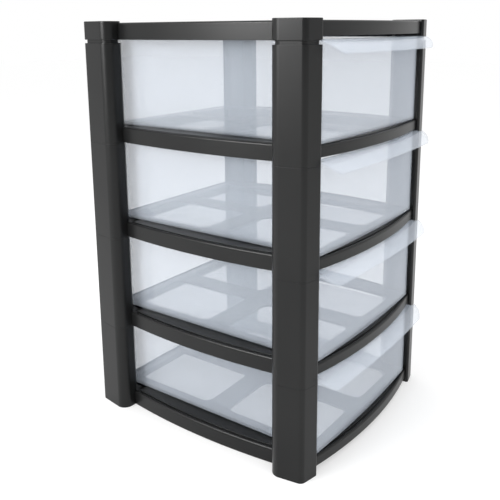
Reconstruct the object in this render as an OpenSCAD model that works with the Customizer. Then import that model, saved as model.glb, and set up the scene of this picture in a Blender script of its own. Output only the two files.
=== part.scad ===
// Tower of four clear drawers in a dark frame of stacked corner posts and open shelves.
// Millimetres, +Z up, front (the pull lips) towards -Y. The origin is under the middle of the
// whole tower, on the surface it stands on. Tiers are counted from the top: drawer_1 is highest.

/* [Tiers] */
// How much lower the lowest tier and its drawer are than the others
base_drop = 8; // [0:1:12]
// Bare collar between the topmost posts and the corner caps of the top panel
neck_height = 4; // [2:0.5:8]

/* [Frame plan] */
// Clear width between the posts, which the drawers pass through
front_opening = 252.6; // [220:0.2:320]
// Clear length between the front and the rear post on each side
side_opening = 230; // [180:1:300]
// Rise of the side rails' outward bow between the posts
side_bow = 7.7; // [2:0.1:12]
// Rise of the front rails' outward bow between the posts
front_bow = 13.2; // [4:0.2:16]
// How far the ends of the side rails are set in from the outer corner of the post
side_set_in = 19.6; // [14:0.2:22]
// How far the ends of the front rails are set in from the front of the post
front_set_in = 4.8; // [3:0.1:9]
// How far the rear rail is set in from the back of the rear posts
rear_set_in = 5; // [2:0.5:8]

/* [Posts] */
// Width of a post at its shoulder, where the side rail meets it
post_width = 32.4; // [29:0.2:38]
// Depth of a post along its inner face
post_depth = 47.8; // [42:0.2:60]
// How far the outer face of a post turns inwards
side_turn = 9.2; // [0:0.2:12]
// How far the front face of a front post turns back
front_turn = 12.5; // [0:0.5:16]
// How far the corner between the drawer and the side rail is cut off, across the tower
corner_cut_x = 10; // [3:0.5:10]
// How far the same corner is cut off, along the tower
corner_cut_y = 9; // [3:0.5:12]
// Radius of the upright edge at the shoulder
shoulder_radius = 12; // [6:0.5:12]
// Radius of a front post's outer front edge
front_edge_radius = 7; // [4:0.5:9]
// Radius of a rear post's outer back edge
rear_edge_radius = 4; // [1:0.5:9]
// Radius of a front post's edge beside the drawer
inner_edge_radius = 3; // [1:0.5:4]
// Wall of a hollow post
post_wall = 2.4; // [1.6:0.1:2.8]
// Plate that closes the top of a post
post_plate = 2.4; // [1.6:0.1:4]
// How far the plug on top of a post is set in from the post's faces
plug_inset = 2.8; // [2.6:0.1:4]
// Wall of the plug on top of a post
plug_wall = 2.2; // [1.6:0.1:2.6]

/* [Shelves] */
// Height of a rail from its lower edge to its rim
rail_height = 19; // [16:0.5:26]
// Thickness of a rail
rail_wall = 3; // [2.6:0.1:4]
// Radius of a rail's upper outer edge
rail_rim_radius = 2.4; // [1:0.1:2.4]
// Gap between a rail's lower edge and the foot of its tier
rail_lift = 1; // [0.5:0.5:4]
// How much higher the front rail's lower edge is than the side rails'
front_relief = 6.4; // [2:0.2:10]
// Thickness of the shelf plate
plate_thickness = 3; // [2.4:0.1:5]
// Width of the groove between a rail's rim and the shelf plate
groove_width = 3; // [1.5:0.1:5]
// Depth of that groove
groove_depth = 1.6; // [0.6:0.1:1.8]
// Width of the bars that cross a shelf in the middle
bar_width = 32; // [20:1:50]
// How far the shelf windows reach from the middle, across the tower
window_reach_x = 104; // [80:1:112]
// How far the shelf windows reach from the middle, along the tower
window_reach_y = 141; // [90:1:146]
// Corner radius of the shelf windows
window_radius = 10; // [6:1:24]
// How far the corner tabs of a shelf reach into the posts, across the tower
tab_reach_x = 10; // [7:0.5:11]
// How far the corner tabs of a shelf reach into the posts, along the tower
tab_reach_y = 34; // [20:1:36]

/* [Top panel] */
// Height of the corner caps
cap_height = 22; // [18:0.5:30]
// Height of the side rails of the top panel
panel_rail_height = 20; // [16:0.5:21]
// How much higher the front rail's lower edge of the top panel is
panel_front_relief = 4.5; // [0:0.5:8]
// Thickness of the panel and of the cap tops
panel_thickness = 2.5; // [1.6:0.1:4]
// Depth of the tray on top of the panel below its rails' rim
panel_recess = 3; // [1:0.5:6]
// Thickness of the ribs inside the caps that sit on the post plugs
cap_rib = 2; // [1.2:0.1:3]

/* [Drawers] */
// Wall of a drawer
drawer_wall = 1.8; // [1.2:0.1:2.6]
// Floor of a drawer
drawer_floor = 2; // [1.4:0.1:3]
// Height of a drawer
drawer_height = 107; // [70:0.5:140]
// Gap between the posts and the widest part of a drawer, on each side
drawer_side_gap = 1.2; // [0.8:0.1:3]
// Length of a drawer body from its front at the middle to its back
drawer_length = 310; // [240:1:318]
// Rise of the drawer front's outward bow
drawer_bow = 4.6; // [1:0.2:10]
// How far the drawer front's ends are set back from the front rail's ends
drawer_set_back = 0.5; // [0:0.1:6]
// Radius of a drawer's upright corners
drawer_corner_radius = 7; // [3:0.5:12]
// How far the rim stands out from the drawer's walls
rim_width = 2; // [1:0.1:3]
// Thickness of the rim
rim_thickness = 2.4; // [1.6:0.1:4]

/* [Pull lip] */
// How far the pull lip reaches forward of the drawer front
lip_reach = 22; // [16:0.5:30]
// How far the lip's edge hangs below its root
lip_drop = 14; // [6:0.5:14]
// Thickness of the lip
lip_thickness = 2.2; // [1.6:0.1:3]
// Thickness of the rounded bead along the lip's edge
lip_bead = 3; // [2.6:0.1:5]
// Flat land of the lip in front of the drawer, before it curls down
lip_land = 2; // [1:0.5:6]
// How far each end of the lip reaches across the post beside it
lip_overhang = 5.2; // [0.5:0.1:6]
// Radius of the lip's ends, seen from above
lip_end_radius = 18; // [8:0.5:20]

/* [Fits] */
// Gap between pieces of the frame that sit in or on one another
seat_gap = 0.3; // [0.2:0.05:0.5]
// Gap between a drawer's floor and the shelf under it
slide_gap = 0.3; // [0.25:0.05:0.6]
// Gap between a drawer's rim and the front rail above it
head_gap = 2.1; // [1:0.1:8]
// Gap between the ends of the lips and the fronts of the posts
lip_gap = 2; // [0.6:0.1:3]

/* [Hidden] */
tier_count = 4;
corners = ["front_left", "front_right", "rear_left", "rear_right"];

frame_color = "#3d3f40";
drawer_color = [0.78, 0.85, 0.91, 0.5];

// Facets of small rounds, and of the large bows
$fn = 48;
bow_fn = 720;

// Overlap of volumes that become one solid, and the reach of cutting shapes
weld = 0.5;
far = 600;

// Radius of an arc that rises by a bow over a half chord
function arc_radius(half_chord, bow) = (half_chord * half_chord + bow * bow) / (2 * bow);

// Half sizes of the opening framed by the posts
inner_x = front_opening / 2;
inner_y = side_opening / 2;
shoulder_x = inner_x + post_width;
post_end_y = inner_y + post_depth;

// Outer faces of the rails: radius of the bow and position of its crown
side_radius = arc_radius(inner_y, side_bow);
front_radius = arc_radius(inner_x, front_bow);
side_crown = shoulder_x - side_set_in + side_bow;
front_crown = post_end_y - front_set_in + front_bow;
rear_face = post_end_y - rear_set_in;

// Heights inside one tier, above the lower ends of its posts
plate_top = rail_lift + rail_height;
plate_bottom = plate_top - plate_thickness;
plug_height = plate_bottom - seat_gap;
drawer_bottom = plate_top + slide_gap;

// Height from one shelf to the next: a drawer fits between a shelf and the front rail above
tier_pitch = drawer_bottom + drawer_height + head_gap - rail_lift - front_relief;

// Heights of the tiers above the ground
base_height = tier_pitch - base_drop;
panel_z = base_height + (tier_count - 1) * tier_pitch + neck_height;
function tier_drop(tier) = tier == tier_count ? base_drop : 0;
function tier_z(tier) = tier == tier_count
    ? 0 : base_height + (tier_count - 1 - tier) * tier_pitch;

// Drawer plan
rim_half = inner_x - drawer_side_gap;
body_half = rim_half - rim_width;
drawer_crown = front_crown - front_bow - drawer_set_back + drawer_bow;
drawer_back = drawer_length - drawer_crown;
drawer_radius = arc_radius(inner_x, drawer_bow);
lip_half = inner_x + lip_overhang;
lip_crown = drawer_crown + lip_reach;
lip_radius = drawer_radius + lip_reach;
// Run of the lip's curl forward of its flat land, and the radius of the curl
curl_run = lip_reach - lip_land;
curl_radius = arc_radius(curl_run, lip_drop);

// Rear posts stand furthest back and the lips furthest forward: the origin is midway
origin_y = (lip_crown - post_end_y) / 2;

// ---- outlines with round corners ----

function unit(v) = v / norm(v);

// Corner i of a convex outline moved in by inset: [centre, radius, two tangent points]
function corner(points, radii, inset, i) =
    let (
        count = len(points),
        back = unit(points[(i + count - 1) % count] - points[i]),
        ahead = unit(points[(i + 1) % count] - points[i]),
        half_angle = acos(back * ahead) / 2,
        inwards = unit(back + ahead) / sin(half_angle),
        tip = points[i] + inset * inwards,
        radius = max(radii[i] - inset, 0),
        run = radius / tan(half_angle))
    [tip + radius * inwards, radius, radius > 0 ? [tip + run * back, tip + run * ahead] : [tip]];

module outline(points, radii, inset = 0) {
    all = [for (i = [0 : len(points) - 1]) corner(points, radii, inset, i)];
    polygon([for (c = all) each c[2]]);
    for (c = all) if (c[1] > 0) translate(c[0]) circle(c[1]);
}

// Straight-sided plan with round corners and a front that bows out to the crown
module bowed_plan(half, crown, radius, back, corner_radius) {
    offset(r = corner_radius) offset(delta = -corner_radius) intersection() {
        translate([0, radius - crown]) circle(radius, $fn = bow_fn);
        translate([-half, -crown - 1]) square([2 * half, crown + 1 + back]);
    }
}

// ---- posts ----

// side is -1 at the left and 1 at the right, end is -1 at the front and 1 at the rear
module post_plan(side, end, inset) {
    turn = end < 0 ? front_turn : 0;
    run = (post_width - post_depth * tan(side_turn)) / (cos(turn) - sin(turn) * tan(side_turn));
    quarter = [
        [inner_x, inner_y + corner_cut_y],
        [inner_x + corner_cut_x, inner_y],
        [shoulder_x, inner_y],
        [inner_x + run * cos(turn), post_end_y - run * sin(turn)],
        [inner_x, post_end_y]];
    outline([for (p = quarter) [side * p[0], end * p[1]]],
        [0, 0, shoulder_radius, end < 0 ? front_edge_radius : rear_edge_radius,
            end < 0 ? inner_edge_radius : 0], inset);
}

module post_prism(side, end, inset, bottom, top) {
    translate([0, 0, bottom]) linear_extrude(top - bottom) post_plan(side, end, inset);
}

// Block over the corner tab of a shelf, grown by gap and starting in the shelf's own plate
module tab_block(side, end, start, gap, bottom, top) {
    size_x = tab_reach_x + gap + start;
    size_y = tab_reach_y + gap + start;
    translate([side * (inner_x - start + size_x / 2), end * (inner_y - start + size_y / 2),
        (bottom + top) / 2])
        cube([size_x, size_y, top - bottom], center = true);
}

module post(side, end, height) {
    color(frame_color) difference() {
        union() {
            post_prism(side, end, 0, 0, height);
            post_prism(side, end, plug_inset, height - weld, height + plug_height);
        }
        // hollow shaft, closed by the plate on top
        post_prism(side, end, post_wall, -1, height - post_plate);
        // hollow plug, open at its top
        post_prism(side, end, plug_inset + plug_wall, height, height + plug_height + 1);
        // way in for the tab of the shelf
        tab_block(side, end, 1, seat_gap, -1, plate_top + seat_gap);
    }
}

module for_corners() {
    for ($side = [-1, 1]) for ($end = [-1, 1]) children();
}

// ---- shelves ----

// Section of a rail: outer face at x = 0, upper outer edge rounded
module rail_section(height) {
    translate([-rail_wall, 0]) square([rail_wall, height - rail_rim_radius]);
    translate([-rail_wall, 0]) square([rail_wall - rail_rim_radius, height]);
    intersection() {
        translate([-rail_rim_radius, height - rail_rim_radius]) circle(rail_rim_radius);
        translate([-rail_rim_radius, 0]) square([rail_rim_radius, height]);
    }
}

// Rail along an arc round the origin, its middle on the +X side
module bowed_rail(radius, half_length, height) {
    half_angle = asin(half_length / radius);
    rotate([0, 0, -half_angle]) rotate_extrude(angle = 2 * half_angle, $fn = bow_fn)
        translate([radius, 0]) rail_section(height);
}

// Side, front and rear rails; each one's ends stop a gap before the posts
module rails(height, relief, gap) {
    for (turn = [0, 180]) rotate([0, 0, turn])
        translate([side_crown - side_radius, 0, 0])
            bowed_rail(side_radius, inner_y - gap, height);
    translate([0, front_radius - front_crown, relief]) rotate([0, 0, -90])
        bowed_rail(front_radius, inner_x - gap, height - relief);
    translate([inner_x - gap, rear_face, 0]) rotate([90, 0, -90])
        linear_extrude(2 * (inner_x - gap)) mirror([1, 0]) rail_section(height);
}

// Area inside the rails' outer faces moved in by inset
module plate_plan(inset) {
    intersection() {
        translate([side_crown - side_radius, 0]) circle(side_radius - inset, $fn = bow_fn);
        translate([side_radius - side_crown, 0]) circle(side_radius - inset, $fn = bow_fn);
        translate([0, front_radius - front_crown]) circle(front_radius - inset, $fn = bow_fn);
        translate([-far / 2, inset + rear_face - far]) square([far, far - 2 * inset]);
    }
}

// Squares over the four corners, from a distance inside the posts' faces
module corner_squares(gap) {
    for_corners()
        translate([$side * (inner_x - gap + far / 2), $end * (inner_y - gap + far / 2)])
            square(far, center = true);
}

// Four windows around the crossing bars
module windows() {
    start = bar_width / 2;
    for_corners() outline(
        [for (p = [[start, start], [window_reach_x, start],
            [window_reach_x, window_reach_y], [start, window_reach_y]])
                [$side * p[0], $end * p[1]]],
        [for (i = [0 : 3]) window_radius]);
}

// Layer of the shelf plate inside the rails, a distance in from their outer faces
module plate_layer(inset, top) {
    translate([0, 0, plate_bottom]) linear_extrude(top - plate_bottom) difference() {
        plate_plan(inset);
        corner_squares(seat_gap);
    }
}

module shelf() {
    color(frame_color) {
        translate([0, 0, rail_lift]) rails(rail_height, front_relief, seat_gap);
        difference() {
            union() {
                // the lower layer joins the rails, the upper one leaves a groove beside them
                plate_layer(rail_wall - weld, plate_top - groove_depth);
                plate_layer(rail_wall + groove_width, plate_top);
                for_corners() tab_block($side, $end, 6, 0, plate_bottom, plate_top);
            }
            translate([0, 0, plate_bottom - 1]) linear_extrude(plate_thickness + 2) windows();
        }
    }
}

// The lowest shelf stands on feet under its tabs, where the others sit on the posts' plugs
module base_frame() {
    shelf();
    color(frame_color) for_corners() intersection() {
        tab_block($side, $end, -plug_inset, 0, 0, plate_bottom + weld);
        post_prism($side, $end, plug_inset, 0, plate_bottom + weld);
    }
}

// ---- top panel ----

module top_panel() {
    tray_top = panel_rail_height - panel_recess;
    rib_bottom = plug_height - neck_height + seat_gap;
    lid_bottom = cap_height - panel_thickness;
    color(frame_color) {
        difference() {
            union() {
                rails(panel_rail_height, panel_front_relief, -post_wall / 2);
                translate([0, 0, tray_top - panel_thickness]) linear_extrude(panel_thickness)
                    plate_plan(rail_wall - weld);
            }
            for_corners() post_prism($side, $end, post_wall / 2, -1, cap_height);
        }
        for_corners() difference() {
            post_prism($side, $end, 0, 0, cap_height);
            post_prism($side, $end, post_wall, -1, lid_bottom);
        }
        // ribs inside the caps, on the plugs of the topmost posts
        for_corners() intersection() {
            post_prism($side, $end, post_wall - weld, rib_bottom, lid_bottom + weld);
            for (share = [0.35, 0.65])
                translate([0, $end * (inner_y + share * post_depth), 0])
                    cube([far, cap_rib, far], center = true);
        }
    }
}

// ---- drawers ----

module drawer_plan(inset) {
    offset(delta = -inset) bowed_plan(body_half, drawer_crown, drawer_radius,
        drawer_back, drawer_corner_radius);
}

// Section of the pull lip: flat up to x = -curl_run, then curling down to a bead that ends at x = 0
module lip_section() {
    middle_radius = curl_radius - lip_thickness / 2;
    end_angle = asin((curl_run - lip_bead / 2) / middle_radius);
    end_way = [sin(end_angle), cos(end_angle)];
    translate([-curl_run, -curl_radius]) {
        intersection() {
            difference() {
                circle(curl_radius, $fn = 180);
                circle(curl_radius - lip_thickness, $fn = 180);
            }
            polygon([[0, 0], [0, far], far * end_way]);
        }
        translate(middle_radius * end_way) circle(d = lip_bead);
    }
    translate([-lip_reach - drawer_wall, -lip_thickness])
        square([lip_land + drawer_wall, lip_thickness]);
}

// Area that the lip may fill: round ends, clear of the posts and of the drawer's inside
module lip_plan() {
    difference() {
        bowed_plan(lip_half, lip_crown + 1, lip_radius + 1, 0, lip_end_radius);
        drawer_plan(drawer_wall / 2);
        for (side = [-1, 1])
            translate([side * (body_half + far / 2), far / 2 - post_end_y - lip_gap])
                square(far, center = true);
    }
}

module pull_lip() {
    half_angle = asin((lip_half + lip_bead) / lip_radius);
    intersection() {
        translate([0, lip_radius - lip_crown, 0]) rotate([0, 0, -90 - half_angle])
            rotate_extrude(angle = 2 * half_angle, $fn = bow_fn)
                translate([lip_radius, 0]) lip_section();
        translate([0, 0, -far / 2]) linear_extrude(far) lip_plan();
    }
}

module drawer(height) {
    color(drawer_color) {
        difference() {
            union() {
                linear_extrude(height) drawer_plan(0);
                // the rim's front edge ends inside the front wall
                translate([0, 0, height - rim_thickness]) linear_extrude(rim_thickness)
                    bowed_plan(rim_half, drawer_crown - drawer_wall / 2, drawer_radius,
                        drawer_back + rim_width, drawer_corner_radius + rim_width);
            }
            translate([0, 0, drawer_floor]) linear_extrude(height) drawer_plan(drawer_wall);
        }
        translate([0, 0, height]) pull_lip();
    }
}

// ---- assembly ----

module in_frame(z) {
    translate([0, origin_y, z]) children();
}

in_frame(panel_z) top_panel();
for (tier = [1 : tier_count - 1])
    in_frame(tier_z(tier)) shelf();
in_frame(0) base_frame();
for (tier = [1 : tier_count])
    in_frame(tier_z(tier) + drawer_bottom) drawer(drawer_height - tier_drop(tier));
for (tier = [1 : tier_count]) for (c = [0 : 3])
    in_frame(tier_z(tier))
            post(c % 2 == 0 ? -1 : 1, c < 2 ? -1 : 1, tier_pitch - tier_drop(tier));
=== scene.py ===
# %% [markdown]
# # A tower of four clear drawers
# The object is a desktop tower for papers: four clear drawers in a charcoal frame of stacked
# corner posts, bowed rails and open shelves, closed by a flat top panel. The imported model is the
# fixed frame of this lesson. Each visible piece is rebuilt round it with softer edges and finer
# curves, in metres and in the same place.

# %% Load the frame
import math
import bmesh
import bpy
from mathutils import Matrix, Vector


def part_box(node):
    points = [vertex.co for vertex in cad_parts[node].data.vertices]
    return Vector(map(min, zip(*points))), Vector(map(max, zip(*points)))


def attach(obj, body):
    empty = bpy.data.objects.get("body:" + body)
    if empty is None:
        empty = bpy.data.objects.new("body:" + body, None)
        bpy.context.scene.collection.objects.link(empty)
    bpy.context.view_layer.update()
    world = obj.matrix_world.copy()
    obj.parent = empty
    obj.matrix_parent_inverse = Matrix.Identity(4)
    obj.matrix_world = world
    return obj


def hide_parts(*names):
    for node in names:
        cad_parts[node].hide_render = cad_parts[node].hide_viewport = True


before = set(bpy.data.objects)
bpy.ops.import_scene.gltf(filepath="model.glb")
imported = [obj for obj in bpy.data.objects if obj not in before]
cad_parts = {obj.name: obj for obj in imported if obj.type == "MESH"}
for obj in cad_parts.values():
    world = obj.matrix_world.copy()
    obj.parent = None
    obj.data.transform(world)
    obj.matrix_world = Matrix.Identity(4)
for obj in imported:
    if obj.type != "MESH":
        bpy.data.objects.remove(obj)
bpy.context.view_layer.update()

# %% [markdown]
# ## Sizes
# What can be measured is read from the loaded frame: the opening between the posts, the foot of
# each tier and the middle of the tower. The rest are the real sizes of the mouldings, kept here
# by name.

# %% Sizes read from the frame
MM = 0.001
TIERS = (1, 2, 3, 4)
CORNERS = {"front_left": (-1, -1), "front_right": (1, -1),
           "rear_left": (-1, 1), "rear_right": (1, 1)}
SHELVES = {1: "shelf_1", 2: "shelf_2", 3: "shelf_3", 4: "base_frame"}
SHELF_RISE = 20 * MM  # from the foot of a tier to the top of its shelf

front_low, front_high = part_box("post_front_right_4")
rear_low, rear_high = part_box("post_rear_right_4")
panel_low, panel_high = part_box("top_panel")
inner_x = front_low.x
mid_y = (front_high.y + rear_low.y) / 2
inner_y = rear_low.y - mid_y
post_end = rear_high.y - mid_y
foot_z = {tier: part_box(SHELVES[tier])[1].z - SHELF_RISE for tier in TIERS}
print("half opening", round(inner_x, 4), round(inner_y, 4), "middle", round(mid_y, 5))
print("feet of the tiers", {tier: round(z, 4) for tier, z in foot_z.items()})

# %% Sizes of the mouldings
POST_WIDTH = 32.4 * MM
POST_HALF = 16 * MM
POST_HALF_DEPTH = 24 * MM
POST_MIDDLE_X = 15.5 * MM
POST_MIDDLE_Y = 23.9 * MM
POST_WALL = 2.4 * MM
POST_EASE = 0.3 * MM
CUT_X = 10 * MM
CUT_Y = 9 * MM
SIDE_TURN = math.radians(9.2)
FRONT_TURN = math.radians(12.5)
PLUG_INSET = 2.8 * MM
PLUG_HEIGHT = 16.7 * MM
PLUG_LAP = 0.5 * MM
PLUG_EASE = 0.4 * MM
NECK = 4 * MM
SIDE_BOW = 7.7 * MM
FRONT_BOW = 13.2 * MM
SEAT_GAP = 0.3 * MM
RAIL_WALL = 3 * MM
RAIL_LIFT = 1 * MM
RAIL_HEIGHT = 19 * MM
RAIL_RIM_RADIUS = 2.4 * MM
RAIL_EDGE_RADIUS = 0.4 * MM
SIDE_RAIL_INSET = 19.6 * MM
FRONT_RAIL_INSET = 4.8 * MM
REAR_RAIL_INSET = 5 * MM

shoulder_x = inner_x + POST_WIDTH
side_x = shoulder_x - SIDE_RAIL_INSET
front_y = post_end - FRONT_RAIL_INSET
rear_y = post_end - REAR_RAIL_INSET


def arc_radius(half_chord, bow):
    """Radius of an arc that rises by bow over half a chord."""
    return (half_chord ** 2 + bow ** 2) / (2 * bow)


def bow_at(half_chord, bow, place):
    """How far that arc still stands out at a distance from its middle."""
    radius = arc_radius(half_chord, bow)
    return math.sqrt(radius ** 2 - place ** 2) - (radius - bow)


print("rail bows have radii", round(arc_radius(inner_y, SIDE_BOW), 3),
      round(arc_radius(inner_x, FRONT_BOW), 3))

# %% [markdown]
# ## Camera
# The photograph looks at the near front corner from about the height of the lid, and its upright
# edges stay almost upright. A flatter camera with a stronger lens shift matches that best, but
# every other view keeps the shift, and loses the top of the tower. So this camera is a compromise:
# it tilts down by twelve degrees, and a smaller shift does the rest of the framing.

# %% Camera
CAMERA_PLACE = Vector((-0.7244, -0.49425, 0.4955))
CAMERA_AZIMUTH = math.radians(-54.02)
CAMERA_ELEVATION = math.radians(12.19)
CAMERA_ROLL = -0.0074
CAMERA_LENS = 49.07
CAMERA_SENSOR = 36
CAMERA_SHIFT = -0.1476

camera_data = bpy.data.cameras.new("camera")
camera_data.sensor_width = CAMERA_SENSOR
camera_data.lens = CAMERA_LENS
camera_data.shift_y = CAMERA_SHIFT
camera = bpy.data.objects.new("camera", camera_data)
bpy.context.scene.collection.objects.link(camera)
bpy.context.scene.camera = camera

back = Vector((math.sin(CAMERA_AZIMUTH) * math.cos(CAMERA_ELEVATION),
               -math.cos(CAMERA_AZIMUTH) * math.cos(CAMERA_ELEVATION),
               math.sin(CAMERA_ELEVATION)))
right = Vector((0, 0, 1)).cross(back).normalized()
turn = Matrix((right, back.cross(right), back)).transposed()
camera.matrix_world = (Matrix.Translation(CAMERA_PLACE) @ turn.to_4x4()
                       @ Matrix.Rotation(CAMERA_ROLL, 4, "Z"))
print("camera at", [round(v, 3) for v in camera.matrix_world.translation])

# %% [markdown]
# ## Finishes
# Both plastics come out of a mould with the same faint grain and slow waviness, so that effect is
# one shader group with its scales as inputs. It puts out only a height and a mottle. The
# Principled shader and the facing ratio stay in each material.

# %% Mould finish shared by both plastics


def add_node(tree, kind, values=None, **settings):
    """A node with its properties and the default values of its inputs."""
    node = tree.nodes.new(kind)
    for name, value in settings.items():
        setattr(node, name, value)
    for name, value in (values or {}).items():
        node.inputs[name].default_value = value
    return node


def build_mould_finish():
    group = bpy.data.node_groups.new("Mould finish", "ShaderNodeTree")
    for name in ("Grain Scale", "Wave Scale"):
        group.interface.new_socket(name, in_out="INPUT", socket_type="NodeSocketFloat")
    for name in ("Height", "Mottle"):
        group.interface.new_socket(name, in_out="OUTPUT", socket_type="NodeSocketFloat")
    given = add_node(group, "NodeGroupInput")
    result = add_node(group, "NodeGroupOutput")
    place = add_node(group, "ShaderNodeTexCoord")
    grain = add_node(group, "ShaderNodeTexNoise", {"Detail": 3, "Roughness": 0.6})
    wave = add_node(group, "ShaderNodeTexNoise", {"Detail": 2, "Roughness": 0.4})
    height = add_node(group, "ShaderNodeMath", {1: 0.12}, operation="MULTIPLY_ADD")
    link = group.links.new
    link(place.outputs["Object"], grain.inputs["Vector"])
    link(place.outputs["Object"], wave.inputs["Vector"])
    link(given.outputs["Grain Scale"], grain.inputs["Scale"])
    link(given.outputs["Wave Scale"], wave.inputs["Scale"])
    link(grain.outputs["Fac"], height.inputs[0])
    link(wave.outputs["Fac"], height.inputs[2])
    link(height.outputs[0], result.inputs["Height"])
    link(wave.outputs["Fac"], result.inputs["Mottle"])
    return group


mould_finish = build_mould_finish()
print("shader group", mould_finish.name, "has", len(mould_finish.nodes), "nodes")

# %% Charcoal plastic of the frame
CHARCOAL_DEEP = (0.0075, 0.0078, 0.008, 1)
CHARCOAL_PALE = (0.011, 0.0113, 0.0113, 1)
CHARCOAL_SHEEN = {"To Min": 0.3, "To Max": 0.38}

def new_material(name, grain_scale, wave_scale, strength, distance):
    """A material whose Principled shader already has the mould finish as its bump."""
    material = bpy.data.materials.new(name)
    material.use_nodes = True
    tree = material.node_tree
    shader = tree.nodes["Principled BSDF"]
    finish = add_node(tree, "ShaderNodeGroup", node_tree=mould_finish)
    finish.inputs["Grain Scale"].default_value = grain_scale
    finish.inputs["Wave Scale"].default_value = wave_scale
    bump = add_node(tree, "ShaderNodeBump", {"Strength": strength, "Distance": distance})
    tree.links.new(finish.outputs["Height"], bump.inputs["Height"])
    tree.links.new(bump.outputs["Normal"], shader.inputs["Normal"])
    return material, tree, shader, finish


def build_charcoal():
    material, tree, shader, finish = new_material("charcoal satin plastic", 1400, 9, 0.12, 0.0002)
    tone = add_node(tree, "ShaderNodeValToRGB")
    low, high = tone.color_ramp.elements
    low.position, low.color = 0.3, CHARCOAL_DEEP
    high.position, high.color = 0.7, CHARCOAL_PALE
    sheen = add_node(tree, "ShaderNodeMapRange", CHARCOAL_SHEEN)
    tree.links.new(finish.outputs["Mottle"], tone.inputs["Fac"])
    tree.links.new(finish.outputs["Mottle"], sheen.inputs["Value"])
    tree.links.new(tone.outputs["Color"], shader.inputs["Base Color"])
    tree.links.new(sheen.outputs["Result"], shader.inputs["Roughness"])
    shader.inputs["IOR"].default_value = 1.34
    return material


charcoal = build_charcoal()
print(charcoal.name, "has", len(charcoal.node_tree.nodes), "nodes")

# %% [markdown]
# The drawers are clear but not empty to the eye: the plastic scatters a little light, so what is
# dark behind it turns a milky blue, and where the view runs along a wall it turns white. Alpha
# lets most of the view through, and the facing ratio raises it towards grazing angles.

# %% Clear plastic of the drawers
CLEAR_HAZE = {"To Min": 0.27, "To Max": 0.62}
CLEAR_SHEEN = {"To Min": 0.08, "To Max": 0.16}
CLEAR_TINT = (0.74, 0.805, 0.895, 1)

def build_clear():
    material, tree, shader, finish = new_material("clear milky plastic", 260, 7, 0.08, 0.0004)
    facing = add_node(tree, "ShaderNodeLayerWeight", {"Blend": 0.5})
    grazing = add_node(tree, "ShaderNodeMath", {1: 5.0}, operation="POWER")
    haze = add_node(tree, "ShaderNodeMapRange", CLEAR_HAZE)
    sheen = add_node(tree, "ShaderNodeMapRange", CLEAR_SHEEN)
    tree.links.new(facing.outputs["Facing"], grazing.inputs[0])
    tree.links.new(grazing.outputs[0], haze.inputs["Value"])
    tree.links.new(haze.outputs["Result"], shader.inputs["Alpha"])
    tree.links.new(finish.outputs["Mottle"], sheen.inputs["Value"])
    tree.links.new(sheen.outputs["Result"], shader.inputs["Roughness"])
    shader.inputs["Base Color"].default_value = CLEAR_TINT
    shader.inputs["IOR"].default_value = 1.49
    return material


clear = build_clear()
# the view passes through many walls, more than the eight that are the default
bpy.context.scene.cycles.transparent_max_bounces = 32
print(clear.name, "has", len(clear.node_tree.nodes), "nodes")

# %% [markdown]
# ## Tools for the pieces
# A Geometry Nodes tree works on a holder object, whose result becomes a plain mesh. Each finished
# piece joins its meshes, keeps only sharp corners sharp, takes its finish, and stands for the
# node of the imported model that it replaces.

# %% Geometry tree helpers


def new_tree(name, inputs):
    """A geometry tree with named inputs, and its input and output nodes."""
    tree = bpy.data.node_groups.new(name, "GeometryNodeTree")
    tree.interface.new_socket("Geometry", in_out="OUTPUT", socket_type="NodeSocketGeometry")
    for socket_name, kind in inputs:
        tree.interface.new_socket(socket_name, in_out="INPUT", socket_type=f"NodeSocket{kind}")
    return tree, add_node(tree, "NodeGroupInput").outputs, add_node(tree, "NodeGroupOutput")


def wire(tree, source, socket):
    """Links an output to an input, or writes a plain number or vector into it."""
    if isinstance(source, bpy.types.NodeSocket):
        tree.links.new(source, socket)
    else:
        socket.default_value = source


def calc(tree, operation, *values):
    """A math node, as its output."""
    node = add_node(tree, "ShaderNodeMath", operation=operation)
    for value, socket in zip(values, node.inputs):
        wire(tree, value, socket)
    return node.outputs[0]


def vector(tree, x, y, z):
    node = add_node(tree, "ShaderNodeCombineXYZ")
    for value, socket in zip((x, y, z), node.inputs):
        wire(tree, value, socket)
    return node.outputs[0]


def pick(tree, index, values, kind="FLOAT"):
    """Chooses one of some values by an index field."""
    node = add_node(tree, "GeometryNodeIndexSwitch", data_type=kind)
    while len(node.index_switch_items) < len(values):
        node.index_switch_items.new()
    tree.links.new(index, node.inputs["Index"])
    for i, value in enumerate(values):
        wire(tree, value, node.inputs[str(i)])
    return node.outputs["Output"]


def move(tree, geometry, place=(0, 0, 0), scale=(1, 1, 1)):
    node = add_node(tree, "GeometryNodeTransform")
    tree.links.new(geometry, node.inputs["Geometry"])
    wire(tree, place, node.inputs["Translation"])
    wire(tree, scale, node.inputs["Scale"])
    return node.outputs["Geometry"]


def join(tree, *parts):
    node = add_node(tree, "GeometryNodeJoinGeometry")
    for part in reversed(parts):
        tree.links.new(part, node.inputs[0])
    return node.outputs[0]


def flip(tree, mesh):
    node = add_node(tree, "GeometryNodeFlipFaces")
    tree.links.new(mesh, node.inputs["Mesh"])
    return node.outputs["Mesh"]


def fill(tree, *outlines):
    """A flat face inside closed outlines, with holes where one lies inside another."""
    node = add_node(tree, "GeometryNodeFillCurve")
    tree.links.new(join(tree, *outlines), node.inputs["Curve"])
    return node.outputs["Mesh"]


def sweep(tree, path, profile, scale=1.0, caps=False):
    node = add_node(tree, "GeometryNodeCurveToMesh", {"Fill Caps": caps})
    tree.links.new(path, node.inputs["Curve"])
    tree.links.new(profile, node.inputs["Profile Curve"])
    wire(tree, scale, node.inputs["Scale"])
    return node.outputs["Mesh"]


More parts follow.
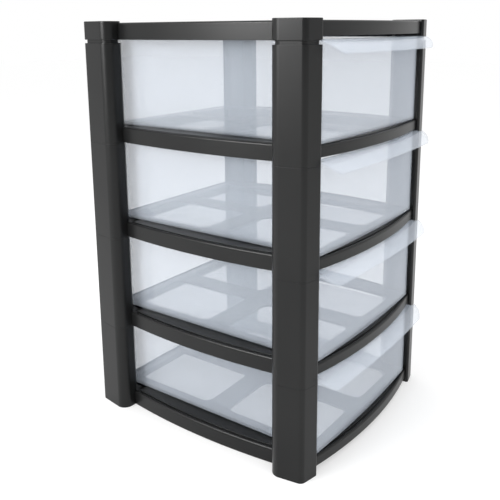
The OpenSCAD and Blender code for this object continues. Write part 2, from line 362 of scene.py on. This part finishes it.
def round_outline(tree, corners, radii, count):
    """A closed outline through some corners, each with its own radius."""
    circle = add_node(tree, "GeometryNodeCurvePrimitiveCircle", {"Resolution": len(corners)})
    index = add_node(tree, "GeometryNodeInputIndex").outputs["Index"]
    outline = add_node(tree, "GeometryNodeSetPosition")
    tree.links.new(circle.outputs["Curve"], outline.inputs["Geometry"])
    wire(tree, pick(tree, index, corners, "VECTOR"), outline.inputs["Position"])
    fillet = add_node(tree, "GeometryNodeFilletCurve", {"Count": count}, mode="POLY")
    tree.links.new(outline.outputs["Geometry"], fillet.inputs["Curve"])
    wire(tree, pick(tree, index, radii), fillet.inputs["Radius"])
    return fillet.outputs["Curve"]


def end_tree(tree, geometry, material, result):
    """Seals the seams, then ends the tree in Realize Instances and Set Material."""
    merge = add_node(tree, "GeometryNodeMergeByDistance", {"Distance": 0.00001})
    realize = add_node(tree, "GeometryNodeRealizeInstances")
    paint = add_node(tree, "GeometryNodeSetMaterial")
    tree.links.new(geometry, merge.inputs["Geometry"])
    tree.links.new(merge.outputs["Geometry"], realize.inputs["Geometry"])
    tree.links.new(realize.outputs["Geometry"], paint.inputs["Geometry"])
    tree.links.new(material, paint.inputs["Material"])
    tree.links.new(paint.outputs["Geometry"], result.inputs["Geometry"])


def run_tree(tree, values):
    """Evaluates a tree with the given inputs and returns the result as a plain mesh."""
    holder = bpy.data.objects.new("holder", bpy.data.meshes.new("holder"))
    bpy.context.scene.collection.objects.link(holder)
    modifier = holder.modifiers.new("tree", "NODES")
    modifier.node_group = tree
    for socket in tree.interface.items_tree:
        if socket.in_out == "INPUT":
            modifier[socket.identifier] = values[socket.name]
    graph = bpy.context.evaluated_depsgraph_get()
    mesh = bpy.data.meshes.new_from_object(holder.evaluated_get(graph))
    holder.modifiers.remove(modifier)
    bpy.data.objects.remove(holder)
    return mesh


# %% Piece helpers
SHARP_ANGLE = math.radians(38)
pieces = {}


def make_piece(node, meshes, material, body):
    """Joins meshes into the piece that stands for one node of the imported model."""
    shape = bmesh.new()
    for mesh in meshes:
        shape.from_mesh(mesh)
    mesh = bpy.data.meshes.new(node)
    shape.to_mesh(mesh)
    shape.free()
    mesh.materials.clear()
    mesh.materials.append(material)
    mesh.polygons.foreach_set("material_index", [0] * len(mesh.polygons))
    mesh.shade_smooth()
    mesh.set_sharp_from_angle(angle=SHARP_ANGLE)
    piece = bpy.data.objects.new("visual_" + node, mesh)
    bpy.context.scene.collection.objects.link(piece)
    # wide faces keep an even shade up to their soft edges
    shading = piece.modifiers.new("even shading", "WEIGHTED_NORMAL")
    shading.keep_sharp = True
    shading.weight = 80
    graph = bpy.context.evaluated_depsgraph_get()
    piece.data = bpy.data.meshes.new_from_object(piece.evaluated_get(graph))
    piece.modifiers.clear()
    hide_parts(node)
    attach(piece, body)
    pieces[node] = piece
    return piece


def loft(rings):
    """A skin over closed rings that all have the same number of points."""
    shape = bmesh.new()
    rows = [[shape.verts.new(point) for point in ring] for ring in rings]
    count = len(rows[0])
    for low, high in zip(rows, rows[1:]):
        for i in range(count):
            shape.faces.new((low[i], low[(i + 1) % count], high[(i + 1) % count], high[i]))
    shape.faces.new(list(reversed(rows[0])))
    shape.faces.new(rows[-1])
    mesh = bpy.data.meshes.new("loft")
    shape.to_mesh(mesh)
    shape.free()
    return mesh


def closed_volume(mesh):
    """Volume in cubic centimetres, below zero if inside out, and the number of open edges."""
    shape = bmesh.new()
    shape.from_mesh(mesh)
    volume = shape.calc_volume(signed=True) * 1e6
    open_edges = sum(not edge.is_manifold for edge in shape.edges)
    shape.free()
    return round(volume, 1), open_edges


# %% [markdown]
# ## Corner posts
# Sixteen hollow post segments stand on each other, each on the plug of the one below. Their plan
# follows a rule: five faces, with its own radius at each upright edge. One tree draws that
# outline, runs it up a line whose ends are drawn in a little, so that the seams between the tiers
# show as on the real mouldings, and adds the hollow below and the plug on top.

# %% Tree of a post segment
EASE_POINTS = 6
EASE_SHARE = 0.293  # one minus the cosine of 45 degrees, for the middle of the round


def eased_run(tree, outline, centre, bottom, top, ease, caps):
    """Runs an outline upwards; three points at either end draw it in by the ease."""
    x, y = centre
    line = add_node(tree, "GeometryNodeCurvePrimitiveLine")
    wire(tree, vector(tree, x, y, bottom), line.inputs["Start"])
    wire(tree, vector(tree, x, y, top), line.inputs["End"])
    points = add_node(tree, "GeometryNodeResampleCurve", {"Count": EASE_POINTS})
    tree.links.new(line.outputs["Curve"], points.inputs["Curve"])
    index = add_node(tree, "GeometryNodeInputIndex").outputs["Index"]
    last = EASE_POINTS - 1
    from_end = calc(tree, "MINIMUM", index, calc(tree, "SUBTRACT", last, index))
    rise = calc(tree, "MULTIPLY", ease, pick(tree, from_end, (0, EASE_SHARE, 1)))
    level = pick(tree, calc(tree, "GREATER_THAN", index, last / 2),
                 (calc(tree, "ADD", bottom, rise), calc(tree, "SUBTRACT", top, rise)))
    place = add_node(tree, "GeometryNodeSetPosition")
    tree.links.new(points.outputs["Curve"], place.inputs["Geometry"])
    wire(tree, vector(tree, x, y, level), place.inputs["Position"])
    drawn_in = calc(tree, "MULTIPLY", ease, pick(tree, from_end, (1, EASE_SHARE, 0)))
    width = calc(tree, "SUBTRACT", 1, calc(tree, "DIVIDE", drawn_in, POST_HALF))
    return sweep(tree, place.outputs["Geometry"], outline, width, caps)


def build_post_tree():
    inputs = [(f"Corner {i}", "Vector") for i in range(5)]
    inputs += [(f"Radius {i}", "Float") for i in range(5)]
    inputs += [("Middle", "Vector"), ("Foot", "Float"), ("Height", "Float"), ("Ease", "Float"),
               ("Plate", "Float"), ("Hollow Scale", "Vector"), ("Plug Scale", "Vector"),
               ("Plug Height", "Float"), ("Material", "Material")]
    tree, given, result = new_tree("Post segment", inputs)
    outline = round_outline(tree, [given[f"Corner {i}"] for i in range(5)],
                            [given[f"Radius {i}"] for i in range(5)], 12)
    middle = add_node(tree, "ShaderNodeSeparateXYZ")
    tree.links.new(given["Middle"], middle.inputs[0])
    x, y = middle.outputs["X"], middle.outputs["Y"]
    foot = given["Foot"]
    top = calc(tree, "ADD", foot, given["Height"])
    ease = given["Ease"]
    shrink = calc(tree, "SUBTRACT", 1, calc(tree, "DIVIDE", ease, POST_HALF))
    edge = move(tree, outline, scale=vector(tree, shrink, shrink, 1))
    hollow = move(tree, outline, scale=given["Hollow Scale"])
    roof = calc(tree, "SUBTRACT", top, given["Plate"])
    shaft = join(
        tree,
        eased_run(tree, outline, (x, y), foot, top, ease, False),
        move(tree, fill(tree, edge), vector(tree, x, y, top)),
        move(tree, flip(tree, fill(tree, edge, hollow)), vector(tree, x, y, foot)),
        flip(tree, eased_run(tree, hollow, (x, y), foot, roof, 0, False)),
        move(tree, flip(tree, fill(tree, hollow)), vector(tree, x, y, roof)))
    # the plug starts just inside the plate that closes the shaft
    plug_foot = calc(tree, "SUBTRACT", top, PLUG_LAP)
    plug_top = calc(tree, "ADD", top, given["Plug Height"])
    plug = eased_run(tree, move(tree, outline, scale=given["Plug Scale"]),
                     (x, y), plug_foot, plug_top, PLUG_EASE, True)
    choose = add_node(tree, "GeometryNodeSwitch", input_type="GEOMETRY")
    tree.links.new(calc(tree, "GREATER_THAN", given["Plug Height"], 0), choose.inputs["Switch"])
    tree.links.new(shaft, choose.inputs["False"])
    tree.links.new(join(tree, shaft, plug), choose.inputs["True"])
    end_tree(tree, choose.outputs["Output"], given["Material"], result)
    return tree


post_tree = build_post_tree()
print("post tree has", len(post_tree.nodes), "nodes")

# %% Post segments
CRISP = 0.3 * MM
INNER_RADII = [CRISP, CRISP, 12 * MM]
FRONT_RADII = [7 * MM, 3 * MM]
REAR_RADII = [4 * MM, CRISP]


def inset_scale(inset):
    """Scale that brings the faces of a post in by an inset."""
    return (1 - inset / POST_HALF, 1 - inset / POST_HALF_DEPTH, 1)


def post_mesh(corner, foot, height, ease, plug_height):
    side, end = CORNERS[corner]
    turn_back = FRONT_TURN if end < 0 else 0
    run = ((POST_WIDTH - (post_end - inner_y) * math.tan(SIDE_TURN))
           / (math.cos(turn_back) - math.sin(turn_back) * math.tan(SIDE_TURN)))
    quarter = [(inner_x, inner_y + CUT_Y), (inner_x + CUT_X, inner_y), (shoulder_x, inner_y),
               (inner_x + run * math.cos(turn_back), post_end - run * math.sin(turn_back)),
               (inner_x, post_end)]
    radii = INNER_RADII + (FRONT_RADII if end < 0 else REAR_RADII)
    if side * end < 0:
        quarter.reverse()
        radii.reverse()
    middle = Vector((side * (inner_x + POST_MIDDLE_X), end * (inner_y + POST_MIDDLE_Y), 0))
    values = {f"Corner {i}": Vector((side * p[0], end * p[1], 0)) - middle
              for i, p in enumerate(quarter)}
    values.update({f"Radius {i}": radius for i, radius in enumerate(radii)})
    values.update({"Middle": middle + Vector((0, mid_y, 0)), "Foot": foot, "Height": height,
                   "Ease": ease, "Plate": POST_WALL, "Hollow Scale": inset_scale(POST_WALL),
                   "Plug Scale": inset_scale(PLUG_INSET), "Plug Height": plug_height,
                   "Material": charcoal})
    return run_tree(post_tree, values)


for tier in TIERS:
    head = foot_z[tier - 1] if tier > 1 else panel_low.z - NECK
    for corner in CORNERS:
        mesh = post_mesh(corner, foot_z[tier], head - foot_z[tier], POST_EASE, PLUG_HEIGHT)
        make_piece(f"post_{corner}_{tier}", [mesh], charcoal, "frame")
print("posts:", len(pieces), "of", closed_volume(mesh), "cm3 and open edges")

# %% [markdown]
# ## Bowed rails
# Every shelf and the top panel have four rails. Each is one moulded section run along a gentle
# bow between two posts, so one tree makes them all: a start, a crown and an end give the path,
# and a four-sided outline with a larger radius at the upper outer edge gives the section.

# %% Tree of a bowed rail


def build_rail_tree():
    inputs = [("Start", "Vector"), ("Crown", "Vector"), ("End", "Vector"), ("Height", "Float"),
              ("Wall", "Float"), ("Rim Radius", "Float"), ("Edge Radius", "Float"),
              ("Steps", "Int"), ("Material", "Material")]
    tree, given, result = new_tree("Bowed rail", inputs)

    def mix(operation, a, b):
        node = add_node(tree, "ShaderNodeVectorMath", operation=operation)
        wire(tree, a, node.inputs[0])
        wire(tree, b, node.inputs[3 if operation == "SCALE" else 1])
        return node.outputs[0]

    # a quadratic curve passes through the crown if its handle is twice as far out
    chord = mix("SCALE", mix("ADD", given["Start"], given["End"]), 0.5)
    handle = mix("SUBTRACT", mix("SCALE", given["Crown"], 2.0), chord)
    path = add_node(tree, "GeometryNodeCurveQuadraticBezier")
    wire(tree, given["Start"], path.inputs["Start"])
    wire(tree, handle, path.inputs["Middle"])
    wire(tree, given["End"], path.inputs["End"])
    wire(tree, given["Steps"], path.inputs["Resolution"])
    upright = add_node(tree, "GeometryNodeSetCurveNormal", mode="Z_UP")
    tree.links.new(path.outputs["Curve"], upright.inputs["Curve"])
    # in the section, x points out of the tower and y points down
    inside = calc(tree, "MULTIPLY", given["Wall"], -1)
    over = calc(tree, "MULTIPLY", given["Height"], -1)
    section = round_outline(
        tree, [vector(tree, 0, 0, 0), vector(tree, inside, 0, 0),
               vector(tree, inside, over, 0), vector(tree, 0, over, 0)],
        [given["Edge Radius"]] * 3 + [given["Rim Radius"]], 6)
    end_tree(tree, sweep(tree, upright.outputs["Curve"], section, 1.0, True),
             given["Material"], result)
    return tree


rail_tree = build_rail_tree()
print("rail tree has", len(rail_tree.nodes), "nodes")

# %% Four rails round a tier
RAIL_STEPS = 48
SHELF_RELIEF = 6.4 * MM


def rail_mesh(start, crown, end, height):
    return run_tree(rail_tree, {
        "Start": Vector(start), "Crown": Vector(crown), "End": Vector(end), "Height": height,
        "Wall": RAIL_WALL, "Rim Radius": RAIL_RIM_RADIUS, "Edge Radius": RAIL_EDGE_RADIUS,
        "Steps": RAIL_STEPS, "Material": charcoal})


def four_rails(bottom, height, relief, gap):
    """Side rails, front rail and rear rail; the front one's lower edge is higher by the relief."""
    meshes = []
    for side in (-1, 1):
        ends = [(side * side_x, mid_y - side * (inner_y - gap), bottom),
                (side * (side_x + SIDE_BOW), mid_y, bottom),
                (side * side_x, mid_y + side * (inner_y - gap), bottom)]
        meshes.append(rail_mesh(*ends, height))
    low = bottom + relief
    front, rear = mid_y - front_y, mid_y + rear_y
    meshes.append(rail_mesh((-inner_x + gap, front, low), (0, front - FRONT_BOW, low),
                            (inner_x - gap, front, low), height - relief))
    meshes.append(rail_mesh((inner_x - gap, rear, bottom), (0, rear, bottom),
                            (-inner_x + gap, rear, bottom), height))
    return meshes


trial = four_rails(0, RAIL_HEIGHT, SHELF_RELIEF, SEAT_GAP)
print("side rail:", closed_volume(trial[0]), "front rail:", closed_volume(trial[2]),
      "rear rail:", closed_volume(trial[3]))

# %% [markdown]
# ## Shelf plates
# Inside its rails each shelf is a flat plate with four large round-cornered windows, a cross of
# bars between them and a shallow groove beside the rails. A flat filled curve suits this: the
# windows are splines inside the outline, and the curve's own bevel softens every edge.

# %% Plate outline and windows
PLATE = 3 * MM
PLATE_LAP = 0.5 * MM
THIN_EDGE = 0.3 * MM
SOFT_EDGE = 0.4 * MM
GROOVE_DEPTH = 1.6 * MM
GROOVE_WIDTH = 3 * MM
WINDOW_X = 104 * MM
WINDOW_Y = 141 * MM
BAR_HALF = 16 * MM
WINDOW_RADIUS = 10 * MM
TAB_START = 6 * MM
TAB_REACH_X = 10 * MM
TAB_REACH_Y = 34 * MM
TAB_RADIUS = 0.5 * MM


def plate_outline(inset, gap):
    """Inside of the rails moved in by inset, with the corners cut out for the posts."""
    edge_x, edge_y = inner_x - gap, inner_y - gap
    steps = [i / 32 for i in range(-32, 33)]
    front = [(t * edge_x, -(front_y - inset) - bow_at(inner_x, FRONT_BOW, t * edge_x))
             for t in steps]
    east = [(side_x - inset + bow_at(inner_y, SIDE_BOW, t * edge_y), t * edge_y)
            for t in steps]
    rear = [(edge_x, rear_y - inset), (-edge_x, rear_y - inset)]
    west = [(-x, -y) for x, y in east]
    corners = [(edge_x, -edge_y)], [(edge_x, edge_y)], [(-edge_x, edge_y)], [(-edge_x, -edge_y)]
    return front + corners[0] + east + corners[1] + rear + corners[2] + west + corners[3]


def round_corner_box(low, high, radius, count=10):
    """A rectangle with round corners, anticlockwise."""
    points = []
    west, east = low[0] + radius, high[0] - radius
    south, north = low[1] + radius, high[1] - radius
    for x, y, start in ((east, north, 0), (west, north, 90),
                        (west, south, 180), (east, south, 270)):
        for i in range(count + 1):
            angle = math.radians(start + 90 * i / count)
            points.append((x + radius * math.cos(angle), y + radius * math.sin(angle)))
    return points


def shelf_windows():
    windows = []
    for side, end in CORNERS.values():
        xs = sorted((side * BAR_HALF, side * WINDOW_X))
        ys = sorted((end * BAR_HALF, end * WINDOW_Y))
        windows.append(round_corner_box((xs[0], ys[0]), (xs[1], ys[1]), WINDOW_RADIUS))
    return windows


def plate_mesh(outlines, bottom, top, soft=SOFT_EDGE):
    """A flat plate inside an outline, with holes, and with its edges softened."""
    curve = bpy.data.curves.new("plate", "CURVE")
    curve.dimensions = "2D"
    curve.fill_mode = "BOTH"
    curve.extrude = (top - bottom) / 2 - soft
    curve.bevel_depth = soft
    curve.bevel_resolution = 2
    curve.offset = -soft
    for outline in outlines:
        spline = curve.splines.new("POLY")
        spline.points.add(len(outline) - 1)
        for point, (x, y) in zip(spline.points, outline):
            point.co = (x, y, 0, 1)
        spline.use_cyclic_u = True
    holder = bpy.data.objects.new("plate", curve)
    bpy.context.scene.collection.objects.link(holder)
    graph = bpy.context.evaluated_depsgraph_get()
    mesh = bpy.data.meshes.new_from_object(holder.evaluated_get(graph))
    bpy.data.objects.remove(holder)
    shape = bmesh.new()
    shape.from_mesh(mesh)
    bmesh.ops.remove_doubles(shape, verts=shape.verts, dist=0.01 * MM)
    bmesh.ops.translate(shape, verts=shape.verts, vec=(0, mid_y, (bottom + top) / 2))
    shape.to_mesh(mesh)
    shape.free()
    return mesh


def corner_blocks(start, bottom, top):
    """Blocks over the corner tabs, which the posts enclose."""
    meshes = []
    for side, end in CORNERS.values():
        xs = sorted((side * (inner_x - start), side * (inner_x + TAB_REACH_X)))
        ys = sorted((end * (inner_y - start), end * (inner_y + TAB_REACH_Y)))
        box = round_corner_box((xs[0], ys[0]), (xs[1], ys[1]), TAB_RADIUS, 2)
        meshes.append(plate_mesh([box], bottom, top, THIN_EDGE))
    return meshes


# %% Shelves
for tier in TIERS:
    foot = foot_z[tier]
    rim = foot + RAIL_LIFT + RAIL_HEIGHT
    groove = rim - GROOVE_DEPTH
    meshes = four_rails(foot + RAIL_LIFT, RAIL_HEIGHT, SHELF_RELIEF, SEAT_GAP)
    meshes.append(plate_mesh([plate_outline(RAIL_WALL - PLATE_LAP, SEAT_GAP)] + shelf_windows(),
                             rim - PLATE, groove, THIN_EDGE))
    meshes.append(plate_mesh([plate_outline(RAIL_WALL + GROOVE_WIDTH, SEAT_GAP)] + shelf_windows(),
                             rim - PLATE + 0.2 * MM, rim))
    meshes += corner_blocks(TAB_START, rim - PLATE, rim)
    if tier == 4:
        meshes += corner_blocks(-PLUG_INSET, 0, rim - PLATE + PLATE_LAP)
    make_piece(SHELVES[tier], meshes, charcoal, "frame")
print("shelf plate:", closed_volume(meshes[5]), "pieces:", len(pieces))

# %% [markdown]
# ## Top panel
# The tower is closed by a lid in one moulding: four taller rails, a cap over each corner post and
# a flat sheet that lies a little lower than their rim, so that small things stay on it. The caps
# come out of the post tree, with a softer edge and no plug.

# %% Top panel
CAP_HEIGHT = 22 * MM
PANEL_RAIL = 20 * MM
PANEL_SHEET = 2.5 * MM
PANEL_RECESS = 5 * MM
PANEL_RELIEF = 4.5 * MM
PANEL_GAP = -1.2 * MM  # below zero: the lid's rails run a little way into its caps
CAP_EASE = 0.7 * MM

meshes = four_rails(panel_low.z, PANEL_RAIL, PANEL_RELIEF, PANEL_GAP)
sheet_top = panel_high.z - PANEL_RECESS
meshes.append(plate_mesh([plate_outline(RAIL_WALL - PLATE_LAP, PANEL_GAP)],
                         sheet_top - PANEL_SHEET, sheet_top, THIN_EDGE))
for corner in CORNERS:
    meshes.append(post_mesh(corner, panel_low.z, CAP_HEIGHT, CAP_EASE, 0))
make_piece("top_panel", meshes, charcoal, "frame")
print("cap:", closed_volume(meshes[-1]), "sheet:", closed_volume(meshes[4]))

# %% [markdown]
# ## Drawers
# A drawer is an open box of clear plastic with a slightly bowed front, a narrow rim that stands
# out at the sides and the back, and a wide lip that curls forward and down to be pulled. The box
# is a loft: one plan outline is repeated at many heights with the inset that each height needs,
# up the outside, over the rim and down the inside, so that every edge is round.

# %% Drawer plan
DRAWER_WALL = 1.8 * MM
DRAWER_FLOOR = 2 * MM
RIM_WIDTH = 2 * MM
RIM_THICKNESS = 2.4 * MM
DRAWER_BOW = 4.6 * MM
DRAWER_CORNER = 7 * MM
DRAWER_LENGTH = 310 * MM
RIM_CLEARANCE = 1.2 * MM
FRONT_SET_BACK = 0.5 * MM
FOOT_RADIUS = 2.5 * MM
FLOOR_RADIUS = 3 * MM
BEND_ZONE = 12 * MM  # rings lie closer together within this distance of the foot and the rim
RIM_SOFT = 0.5 * MM
rim_half = inner_x - RIM_CLEARANCE
body_half = rim_half - RIM_WIDTH
drawer_crown = front_y - FRONT_SET_BACK + DRAWER_BOW
drawer_back = DRAWER_LENGTH - drawer_crown
drawer_radius = arc_radius(inner_x, DRAWER_BOW)


def spread(start, end, count):
    """Evenly spaced numbers from start up to, but not including, end."""
    return [start + (end - start) * i / count for i in range(count)]


def drawer_plan(inset, z, stand_out=0.0):
    """The drawer's outline at a height, anticlockwise from the left end of its front."""
    half = body_half + stand_out - inset
    back_y = drawer_back + stand_out - inset
    corner = max(DRAWER_CORNER + stand_out - inset, 0.4 * MM)
    radius = drawer_radius - inset
    centre_y = drawer_radius - drawer_crown
    corner_x = half - corner
    corner_y = centre_y - math.sqrt((radius - corner) ** 2 - corner_x ** 2)
    lean = math.asin(corner_x / (radius - corner))
    points = [(radius * math.sin(a), centre_y - radius * math.cos(a))
              for a in spread(-lean, lean, 40)]
    points += [(corner_x + corner * math.sin(a), corner_y - corner * math.cos(a))
               for a in spread(lean, math.pi / 2, 8)]
    points += [(half, y) for y in spread(corner_y, back_y - corner, 12)]
    points += [(corner_x + corner * math.cos(a), back_y - corner + corner * math.sin(a))
               for a in spread(0, math.pi / 2, 8)]
    points += [(x, back_y) for x in spread(corner_x, -corner_x, 24)]
    points += [(-corner_x - corner * math.sin(a), back_y - corner + corner * math.cos(a))
               for a in spread(0, math.pi / 2, 8)]
    points += [(-half, y) for y in spread(back_y - corner, corner_y, 12)]
    points += [(-corner_x - corner * math.cos(a), corner_y - corner * math.sin(a))
               for a in spread(0, math.pi / 2 - lean, 8)]
    return [(x, y + mid_y, z) for x, y in points]


def bend(share, radius):
    """How far a quarter round has come in and up at a share of its way."""
    angle = math.pi / 2 * share
    return radius * (1 - math.sin(angle)), radius * (1 - math.cos(angle))


def box_rings(bottom, height):
    """Outlines up the outside of a drawer, over its rim and down its inside."""
    top = bottom + height
    floor = bottom + DRAWER_FLOOR
    rim_foot = top - RIM_THICKNESS
    soft = RIM_SOFT
    rings = []
    for step in range(7):
        inset, rise = bend(step / 6, FOOT_RADIUS)
        rings.append(drawer_plan(inset, bottom + rise))
    rings += [drawer_plan(0, z) for z in spread(bottom + BEND_ZONE, rim_foot, 6)]
    rings += [drawer_plan(0, rim_foot),
              drawer_plan(soft, rim_foot, RIM_WIDTH),
              drawer_plan(0, rim_foot + soft, RIM_WIDTH),
              drawer_plan(0, top - soft, RIM_WIDTH),
              drawer_plan(0.3 * soft, top - 0.3 * soft, RIM_WIDTH),
              drawer_plan(soft, top, RIM_WIDTH),
              drawer_plan(DRAWER_WALL - soft, top),
              drawer_plan(DRAWER_WALL - 0.3 * soft, top - 0.3 * soft),
              drawer_plan(DRAWER_WALL, top - soft)]
    rings += [drawer_plan(DRAWER_WALL, z)
              for z in spread(top - BEND_ZONE, floor + FLOOR_RADIUS, 6)]
    for step in range(7):
        fall, inset = bend(step / 6, FLOOR_RADIUS)
        rings.append(drawer_plan(DRAWER_WALL + inset, floor + fall))
    return rings


TRIAL_HEIGHT = 107 * MM
trial = loft(box_rings(0, TRIAL_HEIGHT))
print("drawer box:", closed_volume(trial))

# %% [markdown]
# The lip follows the same bow as the front it grows from. Its section is flat at the root, curls
# down on one arc and ends in a round bead. The section is repeated across the drawer, and each
# one is cut shorter towards the round ends, which reach over the posts.

# %% Pull lip
LIP_REACH = 22 * MM
LIP_LAND = 2 * MM
LIP_DROP = 14 * MM
LIP_THICKNESS = 2.2 * MM
LIP_END = 18 * MM
LIP_GAP = 2 * MM
LIP_OVERHANG = 5.2 * MM
LIP_ROOT = -0.9 * MM
LIP_BEAD = 1.5 * MM
LIP_LEAST = 2 * MM
lip_half = inner_x + LIP_OVERHANG
curl_radius = arc_radius(LIP_REACH - LIP_LAND, LIP_DROP)


def lip_section(root, reach):
    """Section of the lip from root to reach: distances from the drawer's front, and heights."""
    bead = LIP_BEAD
    middle = curl_radius - LIP_THICKNESS / 2

    def along(distance):
        """Length of the section's middle line as far as a distance from the front."""
        return distance if distance <= LIP_LAND else (
            LIP_LAND + middle * math.asin((distance - LIP_LAND) / middle))

    def at(length, depth):
        if length <= LIP_LAND:
            return length, -depth
        angle = (length - LIP_LAND) / middle
        return (LIP_LAND + (curl_radius - depth) * math.sin(angle),
                (curl_radius - depth) * math.cos(angle) - curl_radius)

    start, end = along(root), along(reach - bead)
    places = [start + (end - start) * i / 20 for i in range(21)]
    over = [at(length, 0) for length in places]
    under = [at(length, LIP_THICKNESS) for length in places]
    centre = at(end, LIP_THICKNESS / 2)
    angle = max(end - LIP_LAND, 0) / middle
    nose = [(centre[0] + bead * math.cos(a), centre[1] + bead * math.sin(a))
            for a in spread(math.pi / 2 - angle - 0.5, -math.pi / 2 - angle + 0.5, 10)]
    return over[:-1] + nose + list(reversed(under[:-1]))


def lip_mesh(top):
    """The lip across the whole drawer, its stations closer together at the round ends."""
    stations = [lip_half * math.sin(math.pi / 2 * i / 60) for i in range(-60, 61)]
    rings = []
    for x in stations:
        past = max(abs(x) - (lip_half - LIP_END), 0)
        reach = LIP_REACH - LIP_END + math.sqrt(max(LIP_END ** 2 - past ** 2, 0))
        front = bow_at(inner_x, DRAWER_BOW, x) - DRAWER_BOW + drawer_crown
        root = LIP_ROOT if abs(x) <= body_half else post_end + LIP_GAP - front
        section = lip_section(root, max(reach, root + LIP_LEAST))
        rings.append([(x, mid_y - front - d, top + z) for d, z in section])
    return loft(rings)


trial = lip_mesh(0)
print("lip:", closed_volume(trial))

# %% Drawers
for tier in TIERS:
    low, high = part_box(f"drawer_{tier}")
    meshes = [loft(box_rings(low.z, high.z - low.z)), lip_mesh(high.z)]
    make_piece(f"drawer_{tier}", meshes, clear, f"drawer_{tier}")
print("drawers:", len([name for name in pieces if "drawer" in name]))

# %% [markdown]
# ## Floor and light
# The tower stands on a plain floor in a studio with a white sweep behind it. The floor is a pale
# grey that keeps the soft shadow. It adds a little light of its own for camera, glossy and
# transmission rays alone, so it shows white without lighting the tower more.

# %% Floor
floor_mesh = bpy.data.meshes.new("floor")
FLOOR_HALF = 9
floor_corners = [(x * FLOOR_HALF, y * FLOOR_HALF, 0)
                 for x, y in ((-1, -1), (1, -1), (1, 1), (-1, 1))]
floor_mesh.from_pydata(floor_corners, [], [(0, 1, 2, 3)])
floor = bpy.data.objects.new("floor", floor_mesh)
bpy.context.scene.collection.objects.link(floor)
floor_paint = bpy.data.materials.new("white floor")
floor_paint.use_nodes = True
floor_tree = floor_paint.node_tree
floor_tree.nodes.remove(floor_tree.nodes["Principled BSDF"])
FLOOR_GREY = (0.62, 0.62, 0.62, 1)
FLOOR_LIFT = 0.42

seen = add_node(floor_tree, "ShaderNodeLightPath")
sheet = add_node(floor_tree, "ShaderNodeBsdfDiffuse", {"Color": FLOOR_GREY})
lift = add_node(floor_tree, "ShaderNodeEmission", {"Color": (1, 1, 1, 1)})
direct = add_node(floor_tree, "ShaderNodeMath", operation="MAXIMUM")
either = add_node(floor_tree, "ShaderNodeMath", operation="MAXIMUM")
strength = add_node(floor_tree, "ShaderNodeMath", {1: FLOOR_LIFT}, operation="MULTIPLY")
both = add_node(floor_tree, "ShaderNodeAddShader")
for source, socket in (
        (seen.outputs["Is Camera Ray"], direct.inputs[0]),
        (seen.outputs["Is Glossy Ray"], direct.inputs[1]),
        (direct.outputs[0], either.inputs[0]),
        (seen.outputs["Is Transmission Ray"], either.inputs[1]),
        (either.outputs[0], strength.inputs[0]),
        (strength.outputs[0], lift.inputs["Strength"]),
        (sheet.outputs["BSDF"], both.inputs[0]),
        (lift.outputs["Emission"], both.inputs[1]),
        (both.outputs["Shader"], floor_tree.nodes["Material Output"].inputs["Surface"])):
    floor_tree.links.new(source, socket)
floor_mesh.materials.append(floor_paint)
print("floor", floor.dimensions[:2])

# %% [markdown]
# The camera sees a white background. What lights the tower and mirrors in it is uneven, as in a
# studio: full white from the sweep behind, down to a fifth of that from the room on the camera's
# side, meant to give the dark posts a lighter and a darker side. Three soft lamps add to it. A
# fourth reaches only the gloss.

# %% World and lamps
SWEEP_WAY = (0.75, 0.5, 0.43)
ROOM_LEVELS = {"From Min": -0.9, "From Max": 0.0, "To Min": 0.2, "To Max": 1.0}

world = bpy.data.worlds.new("white sweep")
bpy.context.scene.world = world
world.use_nodes = True
sky = world.node_tree
place = add_node(sky, "ShaderNodeTexCoord")
towards = add_node(sky, "ShaderNodeVectorMath", operation="DOT_PRODUCT")
towards.inputs[1].default_value = Vector(SWEEP_WAY).normalized()
sweep_level = add_node(sky, "ShaderNodeMapRange", ROOM_LEVELS, interpolation_type="SMOOTHSTEP")
ray = add_node(sky, "ShaderNodeLightPath")
level = add_node(sky, "ShaderNodeMath", operation="MAXIMUM")
sky.links.new(place.outputs["Generated"], towards.inputs[0])
sky.links.new(towards.outputs["Value"], sweep_level.inputs["Value"])
sky.links.new(sweep_level.outputs["Result"], level.inputs[0])
sky.links.new(ray.outputs["Is Camera Ray"], level.inputs[1])
sky.nodes["Background"].inputs["Color"].default_value = (1, 1, 1, 1)
sky.links.new(level.outputs[0], sky.nodes["Background"].inputs["Strength"])


def add_lamp(name, place, target, size, power):
    data = bpy.data.lights.new(name, "AREA")
    data.shape = "RECTANGLE"
    data.size, data.size_y = size
    data.energy = power
    lamp = bpy.data.objects.new(name, data)
    bpy.context.scene.collection.objects.link(lamp)
    lamp.location = place
    lamp.rotation_euler = (Vector(target) - Vector(place)).to_track_quat("-Z", "Y").to_euler()
    return lamp


add_lamp("left softbox", (-1.5, 0.5, 0.8), (-0.15, 0, 0.35), (0.65, 0.7), 14)
# only the gloss shows this one
sheen_strip = add_lamp("sheen strip", (-1.5, 0.55, 0.95), (-0.15, 0, 0.4), (0.5, 0.5), 14)
sheen_strip.visible_diffuse = False
add_lamp("top softbox", (-0.1, 0.1, 1.8), (0, 0, 0.5), (1.4, 1.4), 8)
# the fill lights the milky walls, and is not mirrored in the dark frame
fill_lamp = add_lamp("front fill", (-0.7, -1.4, 0.8), (0, 0, 0.25), (1.0, 1.0), 8)
fill_lamp.visible_glossy = False
bpy.context.scene.view_settings.view_transform = "Standard"
